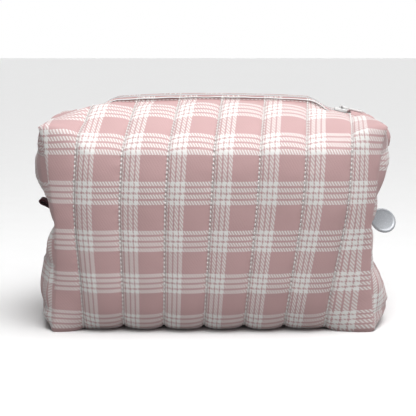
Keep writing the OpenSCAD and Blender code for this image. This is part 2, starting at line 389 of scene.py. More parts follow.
def settle(piece, slot, *nodes, body="bag_body"):
    """Fixes a piece to its body, in place of the CAD nodes that it stands for, which it hides; the material
    slot is not used.
    """
    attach(piece, body)
    if nodes:
        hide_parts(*nodes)


def blend_top(piece, flap, side, slot, *nodes):
    """Sets a piece of the top where it stands and hides the CAD nodes that it stands for; the flap and side
    are not used.
    """
    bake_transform(piece)
    if nodes:
        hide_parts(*nodes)


def spline(points, count):
    """count + 1 points, evenly spaced along a smooth curve through the given ones."""
    p = np.array(points, float)
    t = np.concatenate([[0], np.cumsum(np.linalg.norm(np.diff(p, axis=0), axis=1))])
    slope = np.gradient(p, t, axis=0)
    fine = np.linspace(0, t[-1], 800)
    i = np.clip(np.searchsorted(t, fine, side="right") - 1, 0, len(t) - 2)
    h = (t[i + 1] - t[i])[:, None]
    s = (fine - t[i])[:, None] / h
    curve = ((2 * s ** 3 - 3 * s ** 2 + 1) * p[i] + (s ** 3 - 2 * s ** 2 + s) * h * slope[i]
             + (3 * s ** 2 - 2 * s ** 3) * p[i + 1] + (s ** 3 - s ** 2) * h * slope[i + 1])
    run = np.concatenate([[0], np.cumsum(np.linalg.norm(np.diff(curve, axis=0), axis=1))])
    even = np.linspace(0, run[-1], count + 1)
    return np.stack([np.interp(even, run, curve[:, k]) for k in range(p.shape[1])], axis=1)


def wobble(points, scale, seed):
    """Smooth noise from -1 to 1 at each point of a grid."""
    flat = points.reshape(-1, points.shape[-1]) / scale
    values = [noise.noise(Vector((p[0] + seed, p[1] - seed, p[2] if len(p) > 2 else seed))) for p in flat]
    return np.array(values).reshape(points.shape[:-1])


# ---- the quilted shell
def middle_profile():
    """Half section at mid width, from the front zip edge to the middle of the base, as y and z."""
    top = spline([(-SLOT, RIDGE - 1.0), (-SLOT - 0.6, RIDGE - 4.0), (-21.5, RIDGE - 8.7),
                  (-34.7, RIDGE - 15.9), (-49.4, RIDGE - 25.7), (-58.5, RIDGE - 33.2),
                  (FOLD_Y - 1.6, FOLD_Z)], FOLD_ROW)
    front = spline([(FOLD_Y - 1.6, FOLD_Z), (FOLD_Y - 4.4, 122), (FOLD_Y - 5.4, 100), (FOLD_Y - 5.2, 75),
                    (FOLD_Y - 4.4, 50), (FOLD_Y - 2.4, 30), (FOLD_Y + 1.6, 15), (FOLD_Y + 6.5, 7.5),
                    (FOLD_Y + 13, 4.0)], BOTTOM_ROW - FOLD_ROW)
    base = spline([(FOLD_Y + 13, 4.0), (FOLD_Y + 24, 2.6), (-20, 1.8), (0, 1.6)], MID_ROW - BOTTOM_ROW)
    return np.concatenate([top, front[1:], base[1:]])


def end_profile():
    """Half section where the wrap meets the side panel, with its sharp standing corner."""
    tip = (FOLD_Y + 2, CORNER + EAR_TIP)
    top = spline([(-SLOT, CORNER + 5.5), (-30, CORNER + 5.5), (-46, CORNER + 4.8), tip], EAR_ROW)
    front = spline([tip, (FOLD_Y + 0.4, 142), (FOLD_Y - 1, 125), (FOLD_Y - 1, 100), (FOLD_Y, 70),
                    (FOLD_Y + 1, 35), (FOLD_Y + 1.5, 12), (FOLD_Y + 1.5, 1)], BOTTOM_ROW - EAR_ROW)
    base = spline([(FOLD_Y + 1.5, 1), (-30, 1.6), (0, 1.8)], MID_ROW - BOTTOM_ROW)
    return np.concatenate([top, front[1:], base[1:]])


# Half widths of the front's outline against height, with its corners, waist and foot
EDGE = [(0, 122.5), (8, 122.0), (18, 121.0), (44, 118.8), (69, 119.0), (83, 118.6), (101, 121.0),
        (112, 122.0), (123, 123.4), (135, 124.8), (144, 126.0), (155, 129.5)]
EDGE_Z, EDGE_X = (np.array(v, float) for v in zip(*EDGE))


def columns_u():
    """Fabric coordinates of the grid's columns: a column on every quilt line."""
    knots = [-HALF_W] + [QUILT_MID + QUILT * k for k in range(-3, 4)] + [HALF_W]
    steps = [12] + [20] * 6 + [12]
    u = [-HALF_W]
    for a, b, n in zip(knots, knots[1:], steps):
        even = (np.arange(n) + 1) / n
        u += list(a + (b - a) * (0.35 * even + 0.65 * (1 - np.cos(math.pi * even)) / 2))
    return np.array(u), np.array(knots)


U, KNOTS = columns_u()


def channel_shape(u, knots):
    """Swell between knots, from 0 on a knot to 1 half way, and the distance to a knot."""
    i = np.clip(np.searchsorted(knots, u, side="right") - 1, 0, len(knots) - 2)
    t = np.clip((u - knots[i]) / (knots[i + 1] - knots[i]), 0, 1)
    width = np.minimum(1, (knots[i + 1] - knots[i]) / QUILT)
    near = np.minimum(u - knots[i], knots[i + 1] - u)
    return (4 * t * (1 - t)) ** 0.54 * width ** 0.8, near


def build_wrap():
    """The panel that goes round front, base and rear: points, fabric coordinates and normals."""
    middle, end = middle_profile(), end_profile()
    half_v = np.concatenate([[0], np.cumsum(np.linalg.norm(np.diff(middle, axis=0), axis=1))])
    turn = np.array([-1, 1])
    middle = np.concatenate([middle, middle[-2::-1] * turn])
    end = np.concatenate([end, end[-2::-1] * turn])
    half_v = half_v + (TOP_CLOTH - half_v[FOLD_ROW]) * np.minimum(np.arange(MID_ROW + 1) / FOLD_ROW, 1)
    v = np.concatenate([half_v, 2 * half_v[-1] - half_v[-2::-1]])
    toward_end = smooth((np.abs(U) - END_FROM) / (HALF_W - END_FROM))[None, :, None]
    yz = middle[:, None] * (1 - toward_end) + end[:, None] * toward_end
    rows = np.arange(LAST_ROW + 1)
    half = np.minimum(rows, LAST_ROW - rows)
    height = end[:, 1]
    edge = np.interp(height, EDGE_Z, EDGE_X)
    top = half < EAR_ROW
    edge[top] = EAR_SIDE + 4.0 * (half[top] / EAR_ROW) ** 2
    in_front = (rows <= MID_ROW)[:, None]
    side_sign = np.where(rows <= MID_ROW, 1.0, -1.0)
    level = np.clip(middle[:, 1], 0, RIDGE)
    lean = np.where(half >= FOLD_ROW, -7.2 + 0.058 * level, 0.6 + 7.0 * (1 - half / FOLD_ROW)) + 1.5
    lean = np.where(side_sign > 0, lean, -0.4 * lean)
    lean = lean * smooth((MID_ROW - half) / 15.0)
    spread = np.where(half >= FOLD_ROW, 0.90 + 0.10 * smooth(level / 110), 0.97 + 0.03 * half / FOLD_ROW)
    x = np.zeros(yz.shape[:2])
    for r in rows:
        places = QUILT_MID + lean[r] + spread[r] * (KNOTS - QUILT_MID)
        places[0], places[-1] = -edge[r], edge[r]
        x[r] = np.interp(U, KNOTS, places)
    # the zip edge follows the arch, and its drop fades out towards the fold
    edge_x = np.where(in_front, x[:1], x[-1:])
    drop = (yz[:1, :, 1] - arch(edge_x) + 1.0) * smooth((119 - np.abs(edge_x)) / 8)
    yz[..., 1] -= drop * smooth(1 - (half - 2) / 11.0)[:, None]
    lip = sum(high * np.exp(-((edge_x - at) / wide) ** 2) for at, wide, high in LIPS)
    lip = lip * smooth(half / 2)[:, None]
    yz[..., 1] += lip * smooth((12 - half) / 8)[:, None] * in_front
    fade = smooth(half / FOLD_ROW) * smooth((MID_ROW - half) / 20)
    crown = CROWN * (1 - (x / HALF_W) ** 2) * fade[:, None]
    yz[..., 0] -= crown * side_sign[:, None]
    points = np.concatenate([x[..., None], yz], axis=2)
    normal = grid_normals(points)
    base = points
    shape, near = channel_shape(U, KNOTS)
    uv = pairs(v, U)[..., ::-1].copy()
    # towards the ends the weft stays level down the front, and climbs over the standing corners
    z = base[..., 2]
    down = slice(FOLD_ROW, BOTTOM_ROW + 1)
    level = np.where(z > FOLD_Z, TOP_CLOTH - EAR_SLOPE * (z - FOLD_Z),
                     np.interp(z, middle[down, 1][::-1], half_v[down][::-1]))
    ear_v = TOP_CLOTH - EAR_SLOPE * (CORNER + EAR_TIP - FOLD_Z)
    corner_v = np.where((half <= EAR_ROW)[:, None], ear_v * half[:, None] / EAR_ROW, level)
    upper = (1 - toward_end[..., 0]) * half_v[half][:, None] + toward_end[..., 0] * corner_v
    lower = smooth((half - BOTTOM_ROW + 10) / 10)[:, None]
    front_v = level * (1 - lower) + half_v[half][:, None] * lower
    front_v = np.where((half < FOLD_ROW)[:, None], upper, front_v)
    # the lower front is eased in, which brings the checks closer together
    eased = 0.15 * np.clip(72 - z, 0, 66) * smooth((MID_ROW - half) / (MID_ROW - BOTTOM_ROW))[:, None]
    uv[..., 1] = np.where(in_front, front_v + eased, v[-1] - front_v - eased)
    for _ in range(8):
        uv[1:-1, :, 1] += 0.25 * (uv[:-2, :, 1] + uv[2:, :, 1] - 2 * uv[1:-1, :, 1])
    for outer, last in ((U < KNOTS[1], KNOTS[1]), (U > KNOTS[-2], KNOTS[-2])):
        reach = (edge + END_SPARE - abs(last)) / (HALF_W - abs(last))
        uv[:, outer, 0] = last + (U[outer] - last)[None, :] * reach[:, None]
    hem = smooth((v - HEM) / 15) * smooth((v[-1] - v - HEM) / 15)
    swell = PUFF * shape[None, :] * hem[:, None]
    edge_ridge = np.exp(-((np.minimum(v, v[-1] - v) - 1.6) / 1.3) ** 2) * 0.8
    swell = swell + edge_ridge[:, None]
    swell = swell * (1 + 0.16 * wobble(uv, 31.0, 4.0))
    swell = swell - GROOVE * np.exp(-(near / 0.9) ** 2)[None, :] * hem[:, None]
    pucker = wobble(uv * np.array([0.35, 1.0]), 4.6, 9.0) * np.exp(-near / 7.0)[None, :]
    swell = swell + (0.75 * pucker + 0.9 * wobble(points, 42.0, 2.0)) * np.minimum(1, near / 1.5)[None, :]
    points = points + normal * swell[..., None]
    points[..., 2] = np.maximum(points[..., 2], 0.0)
    return points, uv, grid_normals(points), v, base, normal


# Bulge of each side panel against height, pinched in by the seam across it
BULGE = {-1: [(0, 5), (8, 10), (24, 14), (48, 14), (62, 9), (77, 1), (82, -2), (87, 1), (101, 10),
              (116, 16), (132, 15), (144, 8), (155, 0)],
         1: [(0, 7), (6, 12), (17, 16), (28, 13), (42, 7), (60, 3), (77, 0), (82, -2), (88, 0),
             (104, 3), (115, 8), (128, 13), (138, 14), (147, 9), (155, 0)]}


def build_side(wrap, wrap_v, sign):
    """A side panel between the wrap's end edges: points, fabric coordinates and normals."""
    column = 0 if sign < 0 else -1
    edge = wrap[:, column]
    rows = BOTTOM_ROW - EAR_ROW
    gap = 8
    front = edge[EAR_ROW:BOTTOM_ROW + 1]
    rear = edge[LAST_ROW - EAR_ROW:LAST_ROW - BOTTOM_ROW - 1:-1]
    bridge = np.linspace(edge[0], edge[-1], gap + 1)[1:-1]
    top = np.concatenate([edge[EAR_ROW::-1], bridge, edge[:-EAR_ROW - 2:-1]])
    bottom = edge[BOTTOM_ROW:LAST_ROW - BOTTOM_ROW + 1]
    count = len(top)
    bottom = np.stack([np.interp(np.linspace(0, 1, count), np.linspace(0, 1, len(bottom)), bottom[:, k])
                       for k in range(3)], axis=1)
    s = np.linspace(0, 1, rows + 1)[:, None, None]
    t = np.linspace(0, 1, count)[None, :, None]
    patch = ((1 - s) * top[None] + s * bottom[None] + (1 - t) * front[:, None] + t * rear[:, None]
             - ((1 - s) * (1 - t) * top[0] + (1 - s) * t * top[-1] + s * (1 - t) * bottom[0]
                + s * t * bottom[-1]))
    across = 1 - np.abs(2 * t[..., 0] - 1) ** 2.4
    bulge = np.interp(patch[..., 2], *zip(*BULGE[sign]))
    patch[..., 0] += sign * bulge * across
    down = HALF_W + (CORNER - patch[..., 2])
    up = HALF_W + patch[..., 2]
    upper = patch[..., 2] > SEAM_Z
    u = np.where(upper, down, up)
    depth = patch[..., 1]
    v = np.where(upper, np.abs(depth) - SLOT, wrap_v[MID_ROW] + depth)
    lines = np.abs(np.array([QUILT_MID + sign * QUILT * k for k in range(3, 7)]))
    shape = np.zeros_like(u)
    near = np.zeros_like(u)
    for part, seam in ((upper, HALF_W + CORNER - SEAM_Z), (~upper, HALF_W + SEAM_Z)):
        knots = np.array([HALF_W - 20] + [q for q in lines if HALF_W < q < seam - 8] + [seam])
        shape[part], near[part] = channel_shape(u[part], knots)
    border = (smooth((1 - np.abs(2 * t[..., 0] - 1)) * 9) * smooth(s[..., 0] * 14)
              * smooth((1 - s[..., 0]) * 14))
    uv = np.stack([sign * u, v], axis=2)
    swell = 0.75 * PUFF * shape * border
    swell = swell * (1 + 0.25 * wobble(patch, 26.0, 14.0))
    pucker = wobble(np.stack([u * 0.35, depth], axis=2), 5.0, 3.0) * np.exp(-near / 8.0)
    swell = swell + (1.6 * pucker + 2.2 * wobble(patch, 26.0, 6.0)) * border
    normal = grid_normals(patch) * sign
    patch = patch + normal * swell[..., None]
    patch[..., 2] = np.maximum(patch[..., 2], 0.0)
    return patch, uv, grid_normals(patch) * sign


WRAP, WRAP_UV, WRAP_N, WRAP_V, BASE, BASE_N = build_wrap()
SIDES = {name: build_side(WRAP, WRAP_V, sign) for name, sign in ENDS}
MID_COLUMN = int(np.argmin(np.abs(U - QUILT_MID)))
HALVES = {"left": (-1, slice(0, MID_COLUMN + 1)), "right": (1, slice(MID_COLUMN, len(U)))}


# Rows that turn the cloth under along the zip edge, as inward and down
TURNED = ((0.2, -3.4), (0.8, -2.2), (1.0, -1.1), (0.6, -0.35))


def build_shell():
    wrap = add_grid("quilted_wrap", WRAP[BODY], WRAP_UV[BODY], WRAP_N[BODY], PLAID, flip=True)
    settle(wrap, "quilted_cotton", "front_panel", "rear_panel", "base_panel",
           "front_wadding", "rear_wadding", "base_wadding")
    for name, sign in ENDS:
        points, uv, normal = SIDES[name]
        side = add_grid(f"quilted_side_{name}", points, uv, normal, PLAID, flip=sign > 0)
        settle(side, "quilted_cotton", f"{name}_side_panel", f"{name}_side_wadding")
    for row_name, order, inward in TOPS:
        for name, (side, cols) in HALVES.items():
            points, uv, normal = WRAP[order, cols], WRAP_UV[order, cols], WRAP_N[order, cols]
            points = np.concatenate([[points[0] + (0, inward * y, z) for y, z in TURNED], points])
            uv = np.concatenate([[uv[0] + (0, z) for _, z in TURNED], uv])
            normal = np.concatenate([grid_normals(points)[:len(TURNED)] * inward, normal])
            top = add_grid(f"quilted_top_{row_name}_{name}", points, uv, normal, PLAID, flip=inward > 0)
            blend_top(top, f"{row_name}_flap", side, "quilted_cotton", f"{row_name}_flap_panel",
                      f"{row_name}_flap_wadding", f"{name}_top_panel", f"{name}_top_wadding")


build_shell()


# ---- sewn lines
def shell_point(u, row):
    """A point of the quilted surface and its normal, at a fabric coordinate and a row, whole or not."""
    low = int(np.clip(np.floor(row), 0, LAST_ROW - 1))
    mix = row - low
    at = []
    for grid in (WRAP, WRAP_N):
        line = grid[low] * (1 - mix) + grid[low + 1] * mix
        at.append(np.array([np.interp(u, U, line[:, k]) for k in range(3)]))
    return at[0], unit(at[1])


def capsule(start, end, up, width, height, sides=6, rings=4):
    """Points and faces of one rounded stitch from start to end."""
    along = end - start
    across = unit(np.cross(up, along))
    points = []
    for k in range(rings + 1):
        t = k / rings
        size = math.sin(math.pi * (0.12 + 0.76 * t))
        lift = up * height * (0.5 + 0.5 * size)
        for a in range(sides):
            turn = 2 * math.pi * a / sides
            points.append(start + along * t + lift + across * (math.cos(turn) * width / 2 * size)
                          + up * (math.sin(turn) * height / 2 * size))
    return points, ring_faces(rings + 1, sides)


class Batch:
    """Gathers many small closed shapes into one mesh."""

    def __init__(self):
        self.points, self.faces = [], []

    def add(self, points, faces):
        start = len(self.points)
        self.points += list(points)
        self.faces += [tuple(start + i for i in f) for f in faces]

    def object(self, name, material):
        return add_mesh(name, self.points, self.faces, material)


STITCH_PITCH, STITCH_LEN = 3.2, 2.3


def line_of_stitches(batch, u_at, row_at, count, width=1.25, height=0.95):
    """Stitches along a line of the shell, given as functions of a length from 0 to 1."""
    for k in range(count):
        a = k / count
        b = a + STITCH_LEN / STITCH_PITCH / count
        (p, up), (q, up_q) = (shell_point(u_at(t), row_at(t)) for t in (a, b))
        batch.add(*capsule(p + up * 0.25, q + up_q * 0.25, up, width, height))


def row_of(v):
    return float(np.interp(v, WRAP_V, np.arange(LAST_ROW + 1)))


def build_stitches():
    fold_v, total = WRAP_V[FOLD_ROW], WRAP_V[-1]
    body = Batch()
    for q in KNOTS[1:-1]:
        start, end = fold_v + 0.6, total - fold_v - 0.6
        count = int((end - start) / STITCH_PITCH)
        line_of_stitches(body, lambda t: q, lambda t: row_of(start + (end - start) * t), count)
    lines = body.object("quilt_stitches", STITCH)
    settle(lines, "quilted_cotton")
    for flap, to_row in (("front", row_of), ("rear", lambda v: row_of(total - v))):
        for name, (side, _) in HALVES.items():
            top = Batch()
            for q in KNOTS[1:-1]:
                if (q - QUILT_MID) * side > -1:
                    nudge = 0.35 * side if abs(q - QUILT_MID) < 1 else 0
                    count = int((fold_v - 1.4) / STITCH_PITCH)
                    line_of_stitches(top, lambda t: q + nudge,
                                     lambda t: to_row(1.2 + (fold_v - 1.4) * t), count)
            reach = HALF_W - 6
            count = int(abs(reach * side - QUILT_MID) / STITCH_PITCH)
            line_of_stitches(top, lambda t: QUILT_MID + (reach * side - QUILT_MID) * t + 0.4 * side,
                             lambda t: to_row(TOPSTITCH), count, 0.7, 0.5)
            piece = top.object(f"top_stitches_{flap}_{name}", STITCH)
            blend_top(piece, f"{flap}_flap", side, "quilted_cotton")


# ---- the zip
TAPE_TOP, TAPE_THICK = -1.5, 0.6
COIL_PITCH = 1.5
COIL_MID = -1.9


def arch_point(x, y, above):
    """A point at a height above the zip's arch, measured square to it."""
    tilt = np.arcsin(np.asarray(x, float) / ARCH_R)
    r = ARCH_R + above + arch_lift(x)
    return np.stack(np.broadcast_arrays(r * np.sin(tilt), y, ARCH_Z + r * np.cos(tilt)), axis=-1)


def build_tapes():
    inner, outer = 0.9, SLOT + 1.5
    ys = np.array([inner, inner + 0.25, 2.2, 4, 6, 8, 10, 12, outer])
    sag = np.array([0.1, 0.0, 0, -0.1, -0.2, -0.25, -0.2, -0.3, -0.9])
    for flap, sign in FACES:
        for name, (side, _) in HALVES.items():
            xs = np.linspace(QUILT_MID, side * (TAB_X + 3), 70)
            grid = arch_point(xs[:, None], sign * ys[None, :], TAPE_TOP + sag[None, :])
            grid[..., 2] += 0.12 * np.sin(xs / 3.1)[:, None] * np.clip((ys - 3) / 6, 0, 1)
            up = grid_normals(grid).reshape(-1, 3)
            up = up * np.sign(up[:, 2:])
            tape = add_strip(f"zip_tape_{flap}_{name}", grid, grid - np.array([0, 0, TAPE_THICK]),
                             pairs(xs, ys * sign), TAPE, side * sign > 0, np.concatenate([up, -up]))
            blend_top(tape, f"{flap}_flap", side, "zip_tape", f"{flap}_zip_tape", f"{name}_zip_tape")


def tube(path, radius, sides=6):
    """Closed tube along a path of points."""
    tangent = unit(np.gradient(path, axis=0))
    side_way = np.cross(tangent, np.array([0.0, 0.0, 1.0]))
    weak = np.linalg.norm(side_way, axis=1) < 0.2
    side_way[weak] = np.cross(tangent[weak], np.array([1.0, 0.0, 0.0]))
    side_way = unit(side_way)
    up = np.cross(side_way, tangent)
    turn = 2 * math.pi * np.arange(sides) / sides
    ring = (path[:, None] + side_way[:, None] * (np.cos(turn) * radius)[None, :, None]
            + up[:, None] * (np.sin(turn) * radius)[None, :, None])
    return ring.reshape(-1, 3), ring_faces(len(path), sides)


def build_coils():
    """Two coils of nylon, each a flat spiral, with half a turn between them so that they mesh."""
    steps = 12
    for flap, sign in FACES:
        for name, (side, _) in HALVES.items():
            span = TAB_X - 1.5 - QUILT_MID * side
            turns = int(span / COIL_PITCH)
            k = np.arange(turns * steps + 1) / steps
            shift = 0.0 if sign < 0 else 0.5
            x = QUILT_MID + side * (k + shift) * COIL_PITCH
            turn = 2 * math.pi * k
            y = sign * (1.15 - 1.75 * np.cos(turn))
            path = arch_point(x, y, COIL_MID + 0.95 * np.sin(turn))
            piece = add_mesh(f"zip_coil_{flap}_{name}", *tube(path, 0.33), NYLON)
            blend_top(piece, f"{flap}_flap", side, "zip_coil", f"{flap}_zip_coil", f"{name}_zip_coil")


# ---- tabs at the zip's ends
TAB_FALL, TAB_LONG, TAB_THICK = 22.0, 46.0, 1.3
TAB_TUCK, TAB_HEM = 2.4, 3.5            # the tab's long edges turn down, and over what width


def build_tabs():
    for name, sign in ENDS:
        patch = SIDES[name][0]
        middle = patch.shape[1] // 2
        down = patch[:, middle]
        down = down[down[:, 2] > down[0, 2] - TAB_FALL]
        top_x = np.linspace(TAB_X - 1, abs(down[0, 0]) - 1.5, 6)
        top_z = np.linspace(float(arch(TAB_X)), down[0, 2], 6) + 0.3
        top = np.stack([sign * top_x, 0 * top_x, top_z], axis=1)
        proud = 1.0 - 1.8 * smooth((np.arange(len(down) - 1) - len(down) + 4) / 3)
        fall = down[1:] + np.array([sign, 0, 0]) * proud[:, None]
        path = spline(np.concatenate([top, fall[::2]]), 36)
        ys = np.linspace(-SLOT, SLOT, 21)
        tuck = TAB_TUCK * smooth((np.abs(ys) - SLOT + TAB_HEM) / TAB_HEM)
        along = unit(np.gradient(path, axis=0))
        edge = 1 - 0.03 * np.sin(0.5 * np.arange(len(path)))[:, None]
        crown = sign * 0.35 * np.cos(ys / SLOT * math.pi / 2)
        grid = np.stack([path[:, :1] + sign * along[:, 2:] * tuck + crown, ys * edge,
                         path[:, 2:] - sign * along[:, :1] * tuck], axis=2)
        low = grid + grid_normals(grid) * sign * TAB_THICK
        uv = pairs(np.linspace(0, TAB_LONG, len(path)), ys)
        tab = add_strip(f"zip_tab_{name}", grid, low, uv, PLAIN, sign > 0)
        settle(tab, "plain_cotton", f"{name}_zip_tab")


# ---- slider
SLIDER_PIN = JOINTS["pull_swing"]["pos_m"]


def prism(outline, low, high, bevel, place):
    """Closed slab with bevelled edges: an outline in the slider's own x and y, between two heights."""
    outline = np.array(outline, float)
    centre = outline.mean(axis=0)
    inset = outline - unit(outline - centre) * bevel
    levels = [(inset, low), (outline, low + bevel), (outline, high - bevel), (inset, high)]
    return [place(x, y, z) for ring, z in levels for x, y in ring], ring_faces(4, len(outline))


def rounded(corners, radius, steps=5):
    """An outline through corners, each cut by an arc."""
    c = np.array(corners, float)
    out = []
    for i in range(len(c)):
        a, b, d = c[i - 1], c[i], c[(i + 1) % len(c)]
        p, q = b + unit(a - b) * radius, b + unit(d - b) * radius
        for t in np.linspace(0, 1, steps):
            out.append((1 - t) ** 2 * p + 2 * t * (1 - t) * b + t * t * q)
    return out


def disc_outline(x, y, radius, steps=24):
    turns = [2 * math.pi * k / steps for k in range(steps)]
    return [(x + radius * math.cos(t), y + radius * math.sin(t)) for t in turns]


def build_slider():
    pin_x, pin_z = SLIDER_PIN[0] / M, SLIDER_PIN[2] / M
    tilt = math.atan2(pin_x, pin_z - ARCH_Z)
    top, half = 1.0, 5.5
    pin_h = math.hypot(pin_x, pin_z - ARCH_Z) - ARCH_R

    def place(x, y, z):
        r = ARCH_R + z
        return np.array([r * math.sin(tilt) + x * math.cos(tilt), y,
                         ARCH_Z + r * math.cos(tilt) - x * math.sin(tilt)])

    def upright(x, y, z):
        return place(x, z, y)

    body = Batch()
    plan = [(half, -1.0), (half - 1.2, -4.6), (0.5, -4.4), (-half, -3.1), (-half, 3.1), (0.5, 4.4),
            (half - 1.2, 4.6), (half, 1.0)]
    plate = rounded(plan, 0.8)
    body.add(*prism(plate, -0.3, top, 0.3, place))
    body.add(*prism(plate, -4.8, -3.5, 0.3, place))
    for side in (-1, 1):
        wall = [(-half + 0.3, side * 3.3), (half - 1.6, side * 3.3), (half - 1.2, side * 4.4),
                (0.5, side * 4.2), (-half + 0.3, side * 4.1)][::side]
        body.add(*prism(wall, -1.15, 0.1, 0.1, place))
        body.add(*prism(wall, -3.8, -2.75, 0.1, place))
    body.add(*prism([(half - 3, -0.25), (half - 0.2, -0.5), (half - 0.2, 0.5), (half - 3, 0.25)],
                    -4.0, 0.0, 0.08, place))
    lug = [(-1.7, top - 0.2), (1.7, top - 0.2), (1.7, pin_h), (1.2, pin_h + 1.2), (0, pin_h + 1.7),
           (-1.2, pin_h + 1.2), (-1.7, pin_h)]
    add_plate_with_hole(body, rounded(lug, 0.5, 4), disc_outline(0, pin_h, 0.8), -1.0, 1.0, upright)
    slider = body.object("zip_slider_body", METAL)
    settle(slider, "zip_metal", "slider_body", body="zip_slider")

    pull = Batch()

    def at_pin(x, y, z):
        return place(x, y, pin_h + z)

    def across(x, y, z):
        return place(x, z, pin_h + y)

    pull.add(*prism(disc_outline(0, 0, 0.7, 16), -2.4, 2.4, 0.12, across))
    for side in (-1, 1):
        arm = [(-0.8, -0.7), (5.4, -0.6), (5.4, 0.6), (-0.8, 0.7)]
        low, high = sorted((side * 1.3, side * 2.4))
        pull.add(*prism(rounded(arm, 0.3, 3), low, high, 0.12, across))
    end = 17.0
    tag = rounded([(4.6, -3.1), (8, -3.0), (end - 2, -3.6), (end, -2.2), (end, 2.2), (end - 2, 3.6),
                   (8, 3.0), (4.6, 3.1)], 1.1)
    add_plate_with_hole(pull, tag, disc_outline(end - 3.4, 0, 1.5), -0.6, 0.6, at_pin)
    settle(pull.object("zip_pull_tag", METAL), "zip_metal", "slider_pull", body="zip_pull")


def add_plate_with_hole(batch, outline, hole, low, high, place):
    """A plate between two heights with one round hole: rings matched by their angle about the hole."""
    hole, outline = np.array(hole), np.array(outline)
    centre = hole.mean(axis=0)
    n = len(hole) * 2
    angles = np.linspace(0, 2 * math.pi, n, endpoint=False)
    away = np.stack([np.cos(angles), np.sin(angles)], axis=1)
    outer = centre + away * np.array([[ray_to_outline(centre, way, outline)] for way in away])
    inner = centre + away * np.linalg.norm(hole[0] - centre)
    soft = 0.2
    outer_in, inner_in = outer - away * soft, inner + away * soft
    rings = [(inner, low + soft), (inner_in, low), (outer_in, low), (outer, low + soft),
             (outer, high - soft), (outer_in, high), (inner_in, high), (inner, high - soft)]
    batch.add([place(x, y, z) for ring, z in rings for x, y in ring], ring_faces(len(rings), n, True))


def ray_to_outline(centre, way, outline):
    """Distance from a point inside an outline to its edge, along a direction."""
    best = 0.0
    for a, b in zip(outline, np.roll(outline, -1, axis=0)):
        edge = b - a
        det = way[0] * -edge[1] + way[1] * edge[0]
        if abs(det) < 1e-9:
            continue
        gap = a - centre
        t = (gap[0] * -edge[1] + gap[1] * edge[0]) / det
        s = (way[0] * gap[1] - way[1] * gap[0]) / det
        if t > 0 and -1e-6 <= s <= 1 + 1e-6:
            best = max(best, t)
    return best


# ---- loop and label
LOOP_REACH, LOOP_RISE = 21.0, 30


def build_loop():
    """A strip of ribbon folded over into a flat loop, seen edge on from the front."""
    low, high = box_mm("left_loop")
    reach, rise = LOOP_REACH, math.radians(LOOP_RISE)
    root = np.array([-HALF_W + 1.0, SEAM_Z])
    out = np.array([-math.cos(rise), math.sin(rise)])
    over = np.array([out[1], -out[0]])
    line = [(0, 0.6), (reach * 0.3, 1.0), (reach * 0.7, 1.6), (reach - 1.7, 1.5), (reach - 0.4, 0.8),
            (reach, 0), (reach - 0.4, -0.8), (reach - 1.7, -1.5), (reach * 0.7, -1.3), (reach * 0.3, -0.9),
            (0, -0.6)]
    path = spline([root + out * a + over * b for a, b in line], 60)
    half = (high[1] - low[1]) / 2
    ys = np.concatenate([[-half, -half + 0.5], np.linspace(-half + 1.2, half - 1.2, 9), [half - 0.5, half]])
    thick = np.array([0.55, 1.0] + [0.8] * 9 + [1.0, 0.55])
    tangent = unit(np.gradient(path, axis=0))
    side_way = np.stack([-tangent[:, 1], tangent[:, 0]], axis=1)
    wave = ys + 0.25 * np.sin(0.21 * np.arange(len(path)))[:, None]
    faces = []
    for sign in (0.5, -0.5):
        shift = path[:, None] + side_way[:, None] * (thick * sign)[:, None]
        faces.append(np.stack([shift[..., 0], wave, shift[..., 1]], axis=2))
    run = np.linspace(0, 2 * reach, len(path))
    loop = add_strip("ribbon_loop", *faces, pairs(run, ys)[..., ::-1], RIBBON)
    settle(loop, "loop_ribbon", "left_loop", body="side_loop")


LABEL_RADIUS, LABEL_REACH, LABEL_LEAN, LABEL_DROOP = 10.5, 17.5, 35, 22


def build_label():
    """Round pearly disc with a raised rim and a sunk blank face, on a short ribbon from the seam."""
    radius = LABEL_RADIUS
    lean, droop = math.radians(LABEL_LEAN), math.radians(LABEL_DROOP)
    centre = np.array([HALF_W + LABEL_REACH * math.cos(droop), 0,
                       SEAM_Z - LABEL_REACH * math.sin(droop)])
    section = [(0.02, 0.62), (radius - 2.6, 0.60), (radius - 2.2, 0.66), (radius - 1.7, 0.92),
               (radius - 1.0, 1.0), (radius - 0.35, 0.85), (radius, 0.35), (radius, -0.35),
               (radius - 0.35, -0.8), (radius - 1.0, -0.9), (radius - 2.4, -0.75), (0.02, -0.7)]
    steps = 72
    points = [(x, y, h) for r, h in section for x, y in disc_outline(0, 0, r, steps)]
    faces = [(f[0],) + f[:0:-1] for f in ring_faces(len(section), steps)]
    # the disc's own x runs sideways, its y up the face and h out of the face
    turn = Matrix.Rotation(droop, 3, "Y") @ Matrix.Rotation(-lean, 3, "X")
    turned = [centre + np.array(turn @ Vector((x, -h, y))) for x, y, h in points]
    disc = add_mesh("round_side_label", turned, faces, PEARL)
    settle(disc, "label", "round_label", body="side_label")
    root = np.array([HALF_W - 1.5, SEAM_Z - 0.2])
    tip = np.array([centre[0] - radius + 2.2, centre[2] + (radius - 2.2) * math.sin(droop)])
    path = spline([root, (root + tip) / 2 + np.array([0, 0.8]), tip], 14)
    ys = np.linspace(-3.5, 3.5, 9)
    grid = np.stack([np.stack([np.full(9, x), ys, np.full(9, z)], axis=1) for x, z in path])
    uv = pairs(np.linspace(0, 9, len(path)), ys)[..., ::-1]
    neck = add_strip("label_ribbon", grid, grid - np.array([0, 0, 0.7]), uv, RIBBON, True)
    settle(neck, "loop_ribbon", body="side_label")


